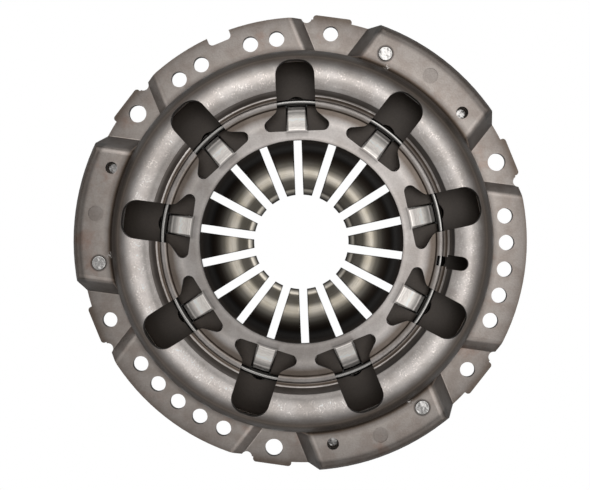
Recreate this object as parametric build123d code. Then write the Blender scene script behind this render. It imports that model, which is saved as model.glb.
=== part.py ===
from build123d import *
import math
import os

# Clutch pressure plate: diaphragm-spring clutch cover of the bent-tab kind.
# Millimetres. The Z axis is the crankshaft axis and points to the gearbox.
# z = 0 is the flywheel face that the six lugs of the cover bolt down on.
# The assembly repeats three times round the axis: pad, lug, row of holes, lug.

# ---------- driving dimensions ----------

# the repeat round the axis
sectors = 3                  # strap pads, and rows of small holes
tabs = 9                     # windows and bent tabs of the cover
fingers = 18                 # fingers of the diaphragm spring
first_pad_angle = 50.0       # direction of the first strap pad
first_tab_angle = 10.0       # direction of the first tab

# cover pressing
sheet = 4.0                  # thickness of the steel sheet
bend_inside = 1.0            # inside radius of the flange bends
inner_edge_in = 22.0         # from the fulcrum circle in to the edge of the hole for the fingers
inner_edge_rise = 2.0        # the inner plate climbs this much above the bead
bead_half_width = 2.3        # bead pressed over the upper fulcrum ring
bead_height = 1.2
ledge_width = 4.6            # from the bead to the foot of the step
dome_crown_out = 10.5        # from the fulcrum circle out to where the dome is highest
dome_rise = 13.1             # and up to there
dome_bend = 21.0             # outside radius of the dome's round
ledge_rise = 0.5
ledge_bend = 0.8
step_run = 3.2               # radial run of the step from ledge to dome
wall_draft = 0.9             # the wall leans out this much down to z = 0

# windows of the cover
window_half_width = 11.0
window_outer_in = 7.7        # outer end, in from the wall
window_corner = 9.0
window_neck_in = 5.3         # from the fulcrum circle in to where the ears begin
ear_slope = 48.0             # degrees, each ear's outer side from the window's side
ear_round = 3.5              # tip of an ear
neck_round = 5.0
window_inner_in = 17.0       # from the fulcrum circle in to the window's straight inner side

# tabs, bent down through the spring
tab_root_half_width = 5.75
tab_half_width = 5.1
tab_slope = 30.0
tab_bend = 2.0               # inside radius of the bend into the upright part
tab_foot_length = 7.0        # foot that holds the lower fulcrum ring up
tab_thinning = 0.05          # the bending draws each face of a tab in by this much
tab_root_step = 1.3          # the tab bends down this far outside the window's inner side

# flange of the cover; its widths and circles are measured out from the wall
bolt_circle_out = 13.9
bolt_hole_d = 9.0            # three lugs, M8 bolts
dowel_hole_d = 10.5          # the three lugs between them
lug_width = 23.8
lug_half_width = 11.6
lug_corner = 2.0
row_rise = 6.0               # underside of a row of holes above the flywheel
row_width = 21.5
row_end = 12.6               # of the raised flat, past the last hole's centre
row_slope_run = 6.3          # of its slopes, down to the lugs
row_hole_d = 9.2
row_holes_out = 9.6
row_hole_pitch = 7.5         # degrees
row_holes = 5
notch_half_width = 7.0       # balancing notch in the edge of the first row
notch_depth = 5.2
pad_rise = 18.0              # underside of a strap pad above the flywheel
pad_width = 23.3
pad_end = 10.4               # of the raised flat, past the strap rivet's centre
pad_slope_run = 7.9          # of its slopes, down to the lugs
pad_corner_run = 2.2         # of the pad's full-radius edge, past the flat
pad_corner_round = 4.0
skirt_bend = 5.5             # outside radius of the pad's turned-down edge
skirt_drop = 12.0            # from the pad's top to the end of the skirt
neck_depth = 2.2             # relief cut between a lug and a row
neck_r = 3.2
neck_angle = 6.7             # from the lug's bolt hole

# keyhole slot in one web
keyhole_angle = 350.0
keyhole_width = 7.9          # outside the step
keyhole_outer_run = 11.7     # from the foot of the step out
keyhole_neck_width = 5.6     # over the ledge and the bead
keyhole_inner_run = 5.9      # from the foot of the step in

# diaphragm spring and its fulcrum rings
spring_t = 2.4
spring_cone = 12.0           # degrees
spring_wall_gap = 3.1        # radial room inside the cover's wall
fulcrum_r = 79.6             # circle that the two wire rings lie on
fulcrum_z = 27.4             # middle of the spring's sheet on that circle
wire_d = 3.6
slot_width = 4.5             # between two fingers
slot_hole_width = 12.0       # hole at the outer end of a slot, for a tab
slot_hole_in = 15.6          # from the fulcrum circle in
slot_hole_out = 3.6          # and out
slot_hole_corner = 1.5
finger_root_in = 23.6        # the fingers stand up more steeply this far inside the fulcrum circle
finger_slope = 19.0
finger_root_bend = 20.0
finger_level_length = 9.2    # then they bend level for this long
finger_bend = 8.0
finger_nose_length = 3.6     # and curl down to the tip
finger_nose_slope = -20.0
finger_nose_bend = 3.0
finger_tip_r = 26.6

# pressure plate casting
plate_rest = 4.5             # friction face above the flywheel, spring relaxed
plate_travel = 4.5
plate_wall_gap = 1.3         # radial room inside the cover's wall
plate_inner_in = 9.6         # from the fulcrum circle in to its bore
plate_web = 8.0
plate_chamfer = 1.0
ridge_in = 2.0               # ridge that the spring presses on, from the spring's edge in
ridge_top_r = 2.5
ridge_root_half = 4.0
ridge_gap_angle = 6.0        # degrees, each gap in the ridge
ridge_gap_floor = 2.0        # above the web
plate_lug_rise = 0.5         # underside of a lug above the friction face
plate_lug_half_width = 7.0
plate_lug_root_half = 11.0
plate_lug_tip = 7.5          # past the rivet
plate_lug_corner = 3.0

# drive straps and their rivets
strap_circle_out = 7.9       # circle of the rivets, from the wall
strap_span = 27.2            # degrees between the two rivets of a strap
strap_shift = 0.2            # degrees, the middle of a strap from the pad's middle
leaves = 3
leaf_t = 0.8
strap_half_width = 6.5
strap_flat = 7.5             # flat end, from the rivet to the bend
strap_bend = 15.0
rivet_d = 5.0
cover_head_d = 8.2
cover_head_h = 1.5
cover_head_proud = 0.35
plate_head_d = 6.2
plate_head_h = 1.5
closing_head_d = 8.6
closing_head_h = 1.4
access_hole_d = 7.0          # over the plate rivet
coin_d = 9.0                 # shallow round mark in the middle of a pad
coin_depth = 0.35
coin_circle_out = 10.1       # from the wall

# clearances
seat_gap = 0.05              # pressed and riveted seats
running_gap = 0.2            # ridge under the spring, strap over its lug
hole_gap = 0.05              # radial, rivet in its hole
head_gap = 0.15              # radial, rivet head in its seat

# ---------- worked out from them ----------

inner_edge_r = fulcrum_r - inner_edge_in
dome_crown_r = fulcrum_r + dome_crown_out
dome_top = fulcrum_z + dome_rise
cone_tan = math.tan(math.radians(spring_cone))
cone_cos = math.cos(math.radians(spring_cone))
ring_lift = (spring_t / 2 + wire_d / 2 + seat_gap) / cone_cos
upper_ring_z = fulcrum_z + ring_lift
lower_ring_z = fulcrum_z - ring_lift
bead_under = upper_ring_z + wire_d / 2 + seat_gap
bead_top = bead_under + sheet
valley_z = bead_top - bead_height
inner_edge_top = bead_top + inner_edge_rise
bead_r = fulcrum_r - wire_d / 3
valley_r = bead_r - bead_half_width
ledge_r = bead_r + bead_half_width
step_r = bead_r + ledge_width
dome_center_z = dome_top - dome_bend
shoulder_r = step_r + step_run
plate_fall = (inner_edge_top - valley_z) / (valley_r - inner_edge_r)
wall_r = dome_crown_r + dome_bend
wall_inner_r = wall_r - sheet
window_outer_x = wall_r - window_outer_in
window_neck_x = fulcrum_r - window_neck_in
window_inner_x = fulcrum_r - window_inner_in
ear_reach = window_half_width + (window_neck_x - window_inner_x) * math.tan(math.radians(ear_slope))
tab_root_r = window_inner_x + tab_root_step
keyhole_outer_r = step_r + keyhole_outer_run
keyhole_inner_r = step_r - keyhole_inner_run
bolt_circle_r = wall_r + bolt_circle_out
lug_edge_x = wall_r + lug_width
row_edge_r = wall_r + row_width
row_hole_circle_r = wall_r + row_holes_out
pad_edge_r = wall_r + pad_width
strap_circle_r = wall_r + strap_circle_out
coin_circle_r = wall_r + coin_circle_out
cover_rivet_angle = strap_span / 2 + strap_shift
plate_rivet_angle = strap_span / 2 - strap_shift
pad_top_half = strap_circle_r * math.sin(math.radians(cover_rivet_angle)) + pad_end
pad_foot_half = pad_top_half + pad_slope_run
pad_corner_half = pad_top_half + pad_corner_run
row_span = (row_holes - 1) * row_hole_pitch
row_top_half = row_hole_circle_r * math.sin(math.radians(row_span / 2)) + row_end
row_foot_half = row_top_half + row_slope_run
pad_top = pad_rise + sheet
spring_outer_r = wall_inner_r - spring_wall_gap
slot_hole_inner_r = fulcrum_r - slot_hole_in
slot_hole_outer_r = fulcrum_r + slot_hole_out
finger_root_r = fulcrum_r - finger_root_in
finger_nose_r = finger_tip_r + finger_nose_length
finger_bend_r = finger_nose_r + finger_level_length
plate_inner_r = fulcrum_r - plate_inner_in
ridge_r = spring_outer_r - ridge_in
plate_outer_r = wall_inner_r - plate_wall_gap
ridge_top = fulcrum_z - (ridge_r - fulcrum_r) * cone_tan - spring_t / 2 / cone_cos - running_gap
stack = leaves * leaf_t + (leaves - 1) * seat_gap
strap_cover_z = pad_rise - stack
strap_drop = plate_travel + running_gap
strap_plate_z = strap_cover_z - strap_drop
plate_lug_top = strap_plate_z
plate_lug_under = plate_rest + plate_lug_rise
pad_angles = [first_pad_angle + i * 360 / sectors for i in range(sectors)]
row_angles = [angle + 180 / sectors for angle in pad_angles]
tab_angles = [first_tab_angle + i * 360 / tabs for i in range(tabs)]
strap_names = "abc"
above = dome_top + 20        # clear over everything
tiny = 0.01                  # finds a corner that is named by its place
below = -20.0                # clear under everything


def polar_point(r, angle, z=0):
    """A point at radius r in the direction of angle, in degrees."""
    return Vector(r * math.cos(math.radians(angle)), r * math.sin(math.radians(angle)), z)


def turned(shape, angle):
    """The shape turned about the Z axis."""
    return Rot(0, 0, angle) * shape


def all_turned(shape, angles):
    return [turned(shape, angle) for angle in angles]


def prism(face, bottom=below, top=above):
    """A plan-view face made into a solid from bottom to top."""
    return extrude(Pos(0, 0, bottom) * face, top - bottom, dir=(0, 0, 1))


def cylinder_between(radius, bottom, top):
    return prism(Circle(radius), bottom, top)


def revolved(section):
    """A face drawn in x = radius, y = height, turned once round the Z axis."""
    return revolve(Plane.XZ * section, Axis.Z)


def radial_bar(section, start, end):
    """A face drawn in x = sideways, y = height, run outwards along X from start to end."""
    across = Plane(origin=(start, 0, 0), x_dir=(0, 1, 0), z_dir=(1, 0, 0))
    return extrude(across * section, end - start, dir=(1, 0, 0))


# ---------- cover ----------

def round_height(r, bend):
    """Height of the dome's round of radius bend at radius r."""
    return dome_center_z + math.sqrt(bend ** 2 - (r - dome_crown_r) ** 2)


def round_sweep(r, bend):
    """Angle of that round, in degrees, from the wall up to radius r."""
    return math.degrees(math.acos((r - dome_crown_r) / bend))


def inner_plate_mid(r):
    """Middle of the sheet of the sloping inner plate at radius r."""
    return inner_edge_top - (r - inner_edge_r) * plate_fall - sheet / 2 / math.cos(math.atan(plate_fall))


def dome_section():
    """Section of the cover from its inner edge over the dome and down the wall."""
    crown = (dome_crown_r, dome_center_z)
    inner_bend = dome_bend - sheet
    under_shoulder_r = dome_crown_r - inner_bend / 9
    under_step_r = step_r + sheet / 2
    under_ledge_z = bead_under - bead_height / 3
    seat_in = fulcrum_r - wire_d / 2
    seat_out = fulcrum_r + wire_d / 2
    plate_drop = sheet / math.cos(math.atan(plate_fall))
    under_r = seat_in - bead_height
    under_z = inner_edge_top - plate_drop - (under_r - inner_edge_r) * plate_fall
    with BuildSketch() as section:
        with BuildLine():
            Line((inner_edge_r, inner_edge_top), (valley_r, valley_z))
            ThreePointArc((valley_r, valley_z), (bead_r, bead_top), (ledge_r, valley_z))
            FilletPolyline((ledge_r, valley_z), (step_r, valley_z + ledge_rise),
                           (shoulder_r, round_height(shoulder_r, dome_bend)), radius=ledge_bend)
            CenterArc(crown, dome_bend, 0, round_sweep(shoulder_r, dome_bend))
            Polyline((wall_r, dome_center_z), (wall_r + wall_draft, 0),
                     (wall_inner_r + wall_draft, 0), (wall_inner_r, dome_center_z))
            CenterArc(crown, inner_bend, 0, round_sweep(under_shoulder_r, inner_bend))
            Polyline((under_shoulder_r, round_height(under_shoulder_r, inner_bend)),
                     (under_step_r, under_ledge_z), (seat_out, under_ledge_z), (seat_out, bead_under),
                     (seat_in, bead_under), (under_r, under_z), (inner_edge_r, inner_edge_top - plate_drop),
                     (inner_edge_r, inner_edge_top))
        make_face()
    return section.sketch


def hat_faces(rise, top_half, foot_half):
    """Raised part of the flange seen from its edge: the sheet, and all that lies under its middle."""
    slope = math.atan2(rise, foot_half - top_half)
    mid = sheet / 2
    shift = mid * math.tan(slope / 2)
    far = pad_edge_r
    points = [(-far, mid), (shift - foot_half, mid), (shift - top_half, rise + mid),
              (top_half - shift, rise + mid), (foot_half - shift, mid), (far, mid)]
    path = FilletPolyline(*points, radius=bend_inside + mid)
    underside = Polyline((far, mid), (far, below), (-far, below), (-far, mid))
    return trace(path, sheet), make_face(path.edges() + underside.edges())


def wedge():
    """Plan of the share of one pad or one row: as wide as half a sector, about the X axis."""
    half = 90 / sectors
    reach = 2 * pad_edge_r
    low = polar_point(reach, -half)
    high = polar_point(reach, half)
    return make_face(Polyline((0, 0), (low.X, low.Y), (high.X, high.Y), (0, 0)))


def pad_plan():
    """Outline of a strap pad: a full-radius edge that runs back to the lugs' shoulders."""
    foot_x = math.sqrt(row_edge_r ** 2 - pad_foot_half ** 2)
    corner_x = math.sqrt(pad_edge_r ** 2 - pad_corner_half ** 2)
    side = [(0, pad_foot_half), (foot_x, pad_foot_half), (corner_x, pad_corner_half),
            (pad_edge_r, pad_corner_half)]
    mirrored = [(x, -y) for x, y in reversed(side)]
    plan = Circle(pad_edge_r) & make_face(Polyline(*side, *mirrored, side[0]))
    corners = [v for v in plan.vertices() if abs(abs(v.Y) - pad_corner_half) < tiny]
    return fillet(corners, pad_corner_round)


def lug_plan():
    """Outline of a lug's tip, on the X axis."""
    tip = Pos(lug_edge_x / 2, 0) * Rectangle(lug_edge_x, 2 * lug_half_width)
    outer = tip.vertices().group_by(Axis.X)[-1]
    return fillet(outer, lug_corner)


def flange_plan():
    """Outline of the whole flange, cut free of the wall."""
    lug_angles = [angle + side * 90 / sectors for angle in pad_angles for side in (-1, 1)]
    plan = Circle(row_edge_r)
    for angle in pad_angles:
        plan += turned(pad_plan(), angle)
    for angle in lug_angles:
        plan += turned(lug_plan(), angle)
    for angle in row_angles:
        for side in (-1, 1):
            at = polar_point(row_edge_r - neck_depth + neck_r, angle + side * (90 / sectors - neck_angle))
            plan -= Pos(at) * Circle(neck_r)
    notch = Pos(row_edge_r, 0) * Rectangle(2 * notch_depth, 2 * notch_half_width)
    inner = notch.vertices().group_by(Axis.X)[0]
    plan -= turned(fillet(inner, notch_depth / 2), row_angles[0])
    return plan - Circle(wall_r - sheet / 2)


def pad_skirt():
    """Ring of sheet that the turned-down edges of the pads are cut from."""
    outer = cylinder_between(pad_edge_r, pad_top - skirt_drop, pad_top - sheet / 2)
    return outer - cylinder_between(pad_edge_r - sheet, below, above)


def pad_edge_waste():
    """What the rounding of the pads' outer edge takes away."""
    center = (pad_edge_r - skirt_bend, pad_top - skirt_bend)
    block = Pos(*center) * Rectangle(above, above, align=Align.MIN)
    return revolved(block - Pos(*center) * Circle(skirt_bend))


def flange():
    """The flange with its pads and rows, and the room under them that opens the wall."""
    outline = prism(flange_plan(), 0, above)
    share = prism(wedge())
    reach = pad_edge_r + sheet
    pad_steel, pad_filled = hat_faces(pad_rise, pad_top_half, pad_foot_half)
    row_steel, row_filled = hat_faces(row_rise, row_top_half, row_foot_half)
    pad = radial_bar(pad_steel, 0, reach) + (radial_bar(pad_filled, 0, reach) & pad_skirt())
    pad -= pad_edge_waste()
    row = radial_bar(row_steel, 0, reach)
    steel = all_turned(pad & share, pad_angles) + all_turned(row & share, row_angles)
    rooms = all_turned(radial_bar(pad_filled - pad_steel, 0, reach) & share, pad_angles)
    rooms += all_turned(radial_bar(row_filled - row_steel, 0, reach) & share, row_angles)
    return [piece & outline for piece in steel], rooms


def window_plan():
    """One window with an ear each side of its tab, on the X axis."""
    side = [(window_inner_x, ear_reach), (window_neck_x, window_half_width),
            (window_outer_x, window_half_width)]
    mirrored = [(x, -y) for x, y in reversed(side)]
    plan = make_face(Polyline(*side, *mirrored, side[0]))
    for (x, y), radius in zip(side, (ear_round, neck_round, window_corner)):
        corners = [v for v in plan.vertices() if abs(v.X - x) < tiny and abs(abs(v.Y) - y) < tiny]
        plan = fillet(corners, radius)
    return plan


def tab():
    """One tab: from the inner plate down through the spring and under the lower ring."""
    mid = sheet / 2
    upright_r = fulcrum_r - wire_d / 2 - seat_gap - mid
    foot_z = lower_ring_z - wire_d / 2 - seat_gap - mid
    start_r = inner_edge_r + sheet / 2
    corner_z = inner_plate_mid(tab_root_r) - (upright_r - tab_root_r) * math.tan(math.radians(tab_slope))
    bends = [tab_bend + mid, tab_bend + mid, wire_d / 2 + seat_gap + mid]
    path = FilletPolyline((start_r, inner_plate_mid(start_r)), (tab_root_r, inner_plate_mid(tab_root_r)),
                          (upright_r, corner_z), (upright_r, foot_z),
                          (upright_r + tab_foot_length, foot_z), radius=bends)
    section = trace(path, sheet - 2 * tab_thinning)
    reach = upright_r + 2 * tab_foot_length
    plan = Polyline((0, tab_root_half_width), (tab_root_r, tab_root_half_width), (upright_r, tab_half_width),
                    (reach, tab_half_width), (reach, -tab_half_width), (upright_r, -tab_half_width),
                    (tab_root_r, -tab_root_half_width), (0, -tab_root_half_width), (0, tab_root_half_width))
    return revolved(section) & prism(make_face(plan))


def keyhole_plan():
    """Keyhole slot through one web: a wide round-ended slot in the dome, narrow over the bead."""
    radius = keyhole_width / 2
    wide = Pos((step_r + keyhole_outer_r - radius) / 2, 0) * Rectangle(
        keyhole_outer_r - radius - step_r, keyhole_width)
    wide += Pos(keyhole_outer_r - radius, 0) * Circle(radius)
    narrow = Pos((keyhole_inner_r + step_r + radius) / 2, 0) * Rectangle(
        step_r + radius - keyhole_inner_r, keyhole_neck_width)
    return turned(wide + narrow, keyhole_angle)


def holes_on_circle(radius, diameter, angles, bottom=below):
    """Round cuts along Z, their centres on a circle."""
    drill = prism(Circle(diameter / 2), bottom)
    return [Pos(polar_point(radius, angle)) * drill for angle in angles]


def flange_holes():
    """Every round hole of the flange, and the shallow seats in the pads."""
    half_share = 90 / sectors
    bolts = [angle + half_share for angle in pad_angles]
    dowels = [angle - half_share for angle in pad_angles]
    rows = [(angle, i * row_hole_pitch - row_span / 2) for angle in row_angles for i in range(row_holes)]
    small = [angle + offset for angle, offset in rows if angle != row_angles[0] or offset != 0]
    rivets = [angle + cover_rivet_angle for angle in pad_angles]
    access = [angle - plate_rivet_angle for angle in pad_angles]
    seat_z = pad_top + cover_head_proud - cover_head_h
    cuts = holes_on_circle(bolt_circle_r, bolt_hole_d, bolts)
    cuts += holes_on_circle(bolt_circle_r, dowel_hole_d, dowels)
    cuts += holes_on_circle(row_hole_circle_r, row_hole_d, small)
    cuts += holes_on_circle(strap_circle_r, rivet_d + 2 * hole_gap, rivets)
    cuts += holes_on_circle(strap_circle_r, cover_head_d + 2 * head_gap, rivets, seat_z)
    cuts += holes_on_circle(strap_circle_r, access_hole_d, access)
    cuts += holes_on_circle(coin_circle_r, coin_d, pad_angles, pad_top - coin_depth)
    return cuts


def cover():
    """The pressed cover: dome, flange, windows, and tabs bent down through the spring."""
    steel, rooms = flange()
    body = revolved(dome_section()) - all_turned(prism(window_plan(), pad_top), tab_angles)
    body += all_turned(tab(), tab_angles)
    body -= rooms
    for piece in steel:
        body += piece
    body -= prism(keyhole_plan(), pad_top)
    return body - flange_holes()


# ---------- diaphragm spring and fulcrum rings ----------

def spring_section():
    """Section of the spring: a shallow cone, and fingers that rise, level out and curl down."""
    outer = (spring_outer_r, fulcrum_z - (spring_outer_r - fulcrum_r) * cone_tan)
    root = (finger_root_r, fulcrum_z + (fulcrum_r - finger_root_r) * cone_tan)
    climb = (finger_root_r - finger_bend_r) * math.tan(math.radians(finger_slope))
    bend = (finger_bend_r, root[1] + climb)
    nose = (finger_nose_r, bend[1])
    curl = (finger_nose_r - finger_tip_r) * math.tan(math.radians(finger_nose_slope))
    tip = (finger_tip_r, nose[1] + curl)
    bends = [finger_root_bend, finger_bend, finger_nose_bend]
    return trace(FilletPolyline(outer, root, bend, nose, tip, radius=bends), spring_t)


def slot_plan():
    """One slot between two fingers, with the hole at its outer end that a tab goes through."""
    radius = slot_hole_width / 2
    slot = Pos(slot_hole_inner_r / 2, 0) * Rectangle(slot_hole_inner_r + radius, slot_width)
    length = slot_hole_outer_r - slot_hole_inner_r
    middle = Pos(slot_hole_inner_r + length / 2, 0)
    hole = middle * RectangleRounded(length, slot_hole_width, slot_hole_corner)
    end = Pos(slot_hole_outer_r - radius, 0) * Circle(radius)
    square_end = Pos(slot_hole_outer_r, 0) * Rectangle(2 * radius, 2 * radius)
    return slot + (hole - square_end) + end


def diaphragm_spring():
    slots = [first_tab_angle + i * 360 / fingers for i in range(fingers)]
    return revolved(spring_section()) - all_turned(prism(slot_plan()), slots)


def fulcrum_ring(z):
    return Pos(0, 0, z) * Torus(fulcrum_r, wire_d / 2)


# ---------- pressure plate ----------

def plate_section():
    """Section of the iron ring: flat friction face below, rounded ridge under the spring above."""
    web_top = plate_rest + plate_web
    center_z = ridge_top - ridge_top_r
    points = [(plate_inner_r + plate_chamfer, plate_rest), (plate_outer_r - plate_chamfer, plate_rest),
              (plate_outer_r, plate_rest + plate_chamfer), (plate_outer_r, web_top),
              (ridge_r + ridge_top_r, center_z)]
    back = [(ridge_r - ridge_top_r, center_z), (ridge_r - ridge_root_half, web_top),
            (plate_inner_r + plate_chamfer, web_top), (plate_inner_r, web_top - plate_chamfer),
            (plate_inner_r, plate_rest + plate_chamfer), points[0]]
    crest = ThreePointArc(points[-1], (ridge_r, ridge_top), back[0])
    return make_face(Polyline(*points).edges() + crest.edges() + Polyline(*back).edges())


def plate_lugs():
    """Three lugs that the straps are riveted on, run into the ring with fillets."""
    tip_x = strap_circle_r + plate_lug_tip
    side = [(plate_inner_r + sheet, plate_lug_root_half), (plate_outer_r, plate_lug_root_half),
            (strap_circle_r, plate_lug_half_width), (tip_x, plate_lug_half_width)]
    mirrored = [(x, -y) for x, y in reversed(side)]
    plan = make_face(Polyline(*side, *mirrored, side[0]))
    plan = fillet(plan.vertices().group_by(Axis.X)[-1], plate_lug_corner)
    lug = prism(plan, plate_lug_under, plate_lug_top)
    return all_turned(lug, [angle - plate_rivet_angle for angle in pad_angles])


def pressure_plate():
    web_top = plate_rest + plate_web
    ring = revolved(plate_section())
    gap_width = 2 * ridge_r * math.tan(math.radians(ridge_gap_angle / 2))
    gap = Pos(ridge_r, 0) * Rectangle(4 * ridge_root_half, gap_width)
    gaps = [first_tab_angle + (i + 0.5) * 360 / fingers for i in range(fingers)]
    ring -= all_turned(prism(gap, web_top + ridge_gap_floor), gaps)
    for lug in plate_lugs():
        ring += lug
    rivets = [angle - plate_rivet_angle for angle in pad_angles]
    ring -= holes_on_circle(strap_circle_r, rivet_d + 2 * hole_gap, rivets)
    seat = prism(Circle(closing_head_d / 2 + head_gap), below, plate_lug_under + closing_head_h)
    ring -= [Pos(polar_point(strap_circle_r, angle)) * seat for angle in rivets]
    return ring


# ---------- drive straps and rivets ----------

def strap_leaf(level):
    """One leaf of the first strap pack, level 0 lowest: from the plate's lug up to the cover's pad."""
    plate_end = polar_point(strap_circle_r, first_pad_angle - plate_rivet_angle)
    cover_end = polar_point(strap_circle_r, first_pad_angle + cover_rivet_angle)
    along = cover_end - plate_end
    length = along.length
    direction = along.normalized()
    side = Plane(origin=plate_end, x_dir=direction, z_dir=direction.cross(Vector(0, 0, 1)))
    lift = level * (leaf_t + seat_gap) + leaf_t / 2
    low = strap_plate_z + seat_gap + lift
    high = strap_cover_z + lift
    path = FilletPolyline((-strap_half_width, low), (strap_flat, low), (length - strap_flat, high),
                          (length + strap_half_width, high), radius=strap_bend)
    band = extrude(side * trace(path, leaf_t), strap_half_width, both=True)
    flat = Plane(origin=(plate_end + cover_end) * 0.5, x_dir=direction, z_dir=(0, 0, 1))
    outline = prism(flat * SlotCenterToCenter(length, 2 * strap_half_width))
    hole = prism(Circle(rivet_d / 2 + hole_gap))
    return (band & outline) - [Pos(plate_end) * hole, Pos(cover_end) * hole]


def rivet(under, top, low_head_h, low_head_d, high_head_h, high_head_d):
    """A set rivet standing on the Z axis, its two heads outside the grip from under to top."""
    shank = cylinder_between(rivet_d / 2, under, top)
    low = cylinder_between(low_head_d / 2, under - low_head_h, under)
    high = cylinder_between(high_head_d / 2, top, top + high_head_h)
    low = fillet(low.edges().group_by(Axis.Z)[0], low_head_h / 3)
    high = fillet(high.edges().group_by(Axis.Z)[-1], high_head_h / 3)
    return shank + low + high


def cover_rivet():
    """Holds a strap pack up against the cover: its upper head is sunk in the pad."""
    seat_z = pad_top + cover_head_proud - cover_head_h
    return rivet(strap_cover_z - seat_gap, seat_z + seat_gap, closing_head_h, closing_head_d,
                 cover_head_h - seat_gap, cover_head_d)


def plate_rivet():
    """Holds a strap pack down on the plate's lug: its lower head is sunk in the lug."""
    return rivet(plate_lug_under + closing_head_h - seat_gap, strap_plate_z + stack + 2 * seat_gap,
                 closing_head_h - seat_gap, closing_head_d, plate_head_h, plate_head_d)


# ---------- the nodes ----------

def nodes():
    """Every node's name and shape."""
    yield "cover", cover()
    yield "diaphragm_spring", diaphragm_spring()
    yield "upper_fulcrum_ring", fulcrum_ring(upper_ring_z)
    yield "lower_fulcrum_ring", fulcrum_ring(lower_ring_z)
    yield "pressure_plate", pressure_plate()
    leaf_shapes = [strap_leaf(level) for level in range(leaves)]
    cover_rivet_at = Pos(polar_point(strap_circle_r, first_pad_angle + cover_rivet_angle)) * cover_rivet()
    plate_rivet_at = Pos(polar_point(strap_circle_r, first_pad_angle - plate_rivet_angle)) * plate_rivet()
    for index, name in enumerate(strap_names):
        turn = index * 360 / sectors
        for level, shape in enumerate(leaf_shapes):
            yield f"strap_{name}_leaf_{level + 1}", turned(shape, turn)
        yield f"cover_rivet_{name}", turned(cover_rivet_at, turn)
        yield f"plate_rivet_{name}", turned(plate_rivet_at, turn)


os.makedirs("parts", exist_ok=True)
for node, shape in nodes():
    export_step(shape, f"parts/{node}.step")
    print(node, round(shape.volume), "mm3")
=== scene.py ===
# %% [markdown]
# # Clutch pressure plate
# A clutch cover assembly is mostly one deep pressing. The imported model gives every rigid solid, so this
# lesson dresses them in steel, iron and wire, and remakes the two kinds of part that flex: the diaphragm
# spring and the drive straps.

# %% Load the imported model
import math
import bmesh
import bpy
from mathutils import Matrix, Vector


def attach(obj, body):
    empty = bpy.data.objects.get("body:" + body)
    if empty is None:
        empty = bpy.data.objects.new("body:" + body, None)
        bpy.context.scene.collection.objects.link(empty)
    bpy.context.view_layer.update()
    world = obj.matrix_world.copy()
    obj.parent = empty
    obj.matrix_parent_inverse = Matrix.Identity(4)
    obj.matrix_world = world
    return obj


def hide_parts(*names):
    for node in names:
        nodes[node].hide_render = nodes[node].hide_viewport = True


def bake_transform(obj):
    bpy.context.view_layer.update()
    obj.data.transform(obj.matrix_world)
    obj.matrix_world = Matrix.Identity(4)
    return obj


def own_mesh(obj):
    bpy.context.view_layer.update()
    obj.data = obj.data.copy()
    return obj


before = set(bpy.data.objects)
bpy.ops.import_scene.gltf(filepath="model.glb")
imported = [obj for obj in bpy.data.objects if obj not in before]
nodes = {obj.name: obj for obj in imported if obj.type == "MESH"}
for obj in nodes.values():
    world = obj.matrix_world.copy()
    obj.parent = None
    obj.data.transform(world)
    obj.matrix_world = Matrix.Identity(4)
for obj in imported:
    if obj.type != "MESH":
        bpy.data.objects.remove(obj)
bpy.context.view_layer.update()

# %% [markdown]
# ## Units and helpers
# Blender works in metres and the drawing in millimetres, so one factor turns one into the other. Colours are
# written as the hex values that a colour picker shows, and one function turns them into the linear values
# that the renderer wants. Another adds a shader or geometry node with its settings and its links.

# %% Helpers
mm = 0.001


def colour(hex_text):
    """An sRGB hex colour as linear RGBA."""
    parts = [int(hex_text[i:i + 2], 16) / 255 for i in (1, 3, 5)]
    linear = [c / 12.92 if c <= 0.04045 else ((c + 0.055) / 1.055) ** 2.4 for c in parts]
    return (*linear, 1.0)


def add(tree, kind, inputs=None, **settings):
    """A new node. inputs maps a socket's name or number to a value, a hex colour or a socket to link."""
    node = tree.nodes.new(kind)
    for name, value in settings.items():
        setattr(node, name, value)
    for name, value in (inputs or {}).items():
        socket = node.inputs[name]
        if isinstance(value, bpy.types.NodeSocket):
            tree.links.new(value, socket)
        else:
            socket.default_value = colour(value) if isinstance(value, str) else value
    return node


print("mid grey #808080 is", round(colour("#808080")[0], 3), "in linear light")

# %% [markdown]
# ## Camera
# The view looks straight down the crankshaft axis from about 0.6 m, a little to one side, so the outer walls
# on one side hide and the windows show a little of their far walls. The camera's turn is worked out from the
# place it stands at and the place it aims at, which is easier to change than three angles.

# %% Camera
view_turn = math.radians(-2.2)
right = Vector((math.cos(view_turn), math.sin(view_turn), 0))
up = Vector((-math.sin(view_turn), math.cos(view_turn), 0))
camera_height = 604 * mm
aim_height = 4 * mm
camera_at = right * 9.5 * mm + up * 5.3 * mm + Vector((0, 0, camera_height))
camera_aim = right * -4.31 * mm + up * -2.18 * mm + Vector((0, 0, aim_height))

camera_data = bpy.data.cameras.new("camera")
camera_data.sensor_width = 36
camera_data.lens = 61.17
camera_data.clip_start = 0.05
camera_data.clip_end = 20
camera = bpy.data.objects.new("camera", camera_data)
bpy.context.scene.collection.objects.link(camera)
back = (camera_at - camera_aim).normalized()
side = up.cross(back).normalized()
turn = [[side[i], back.cross(side)[i], back[i]] for i in range(3)]
camera.rotation_mode = "QUATERNION"
camera.rotation_quaternion = Matrix(turn).to_quaternion()
camera.location = camera_at
bpy.context.scene.camera = camera
print("camera", [round(x, 4) for x in camera_at])

# %% [markdown]
# ## Light
# Bare steel shows what it reflects, so its look comes from what stands round it. The world here is a soft
# tent. One ramp follows the height: the tent is dim straight above, brightest about 40 degrees off the axis
# and dark again towards the horizon, so that each rounded crown shows one bright band. A second ramp runs
# across it from side to side, with a dark strip and a bright one at the middle, as a softbox and the gap
# beside it would give. A picture of a studio would do the same, but it can't be tuned a step at a time.

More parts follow.
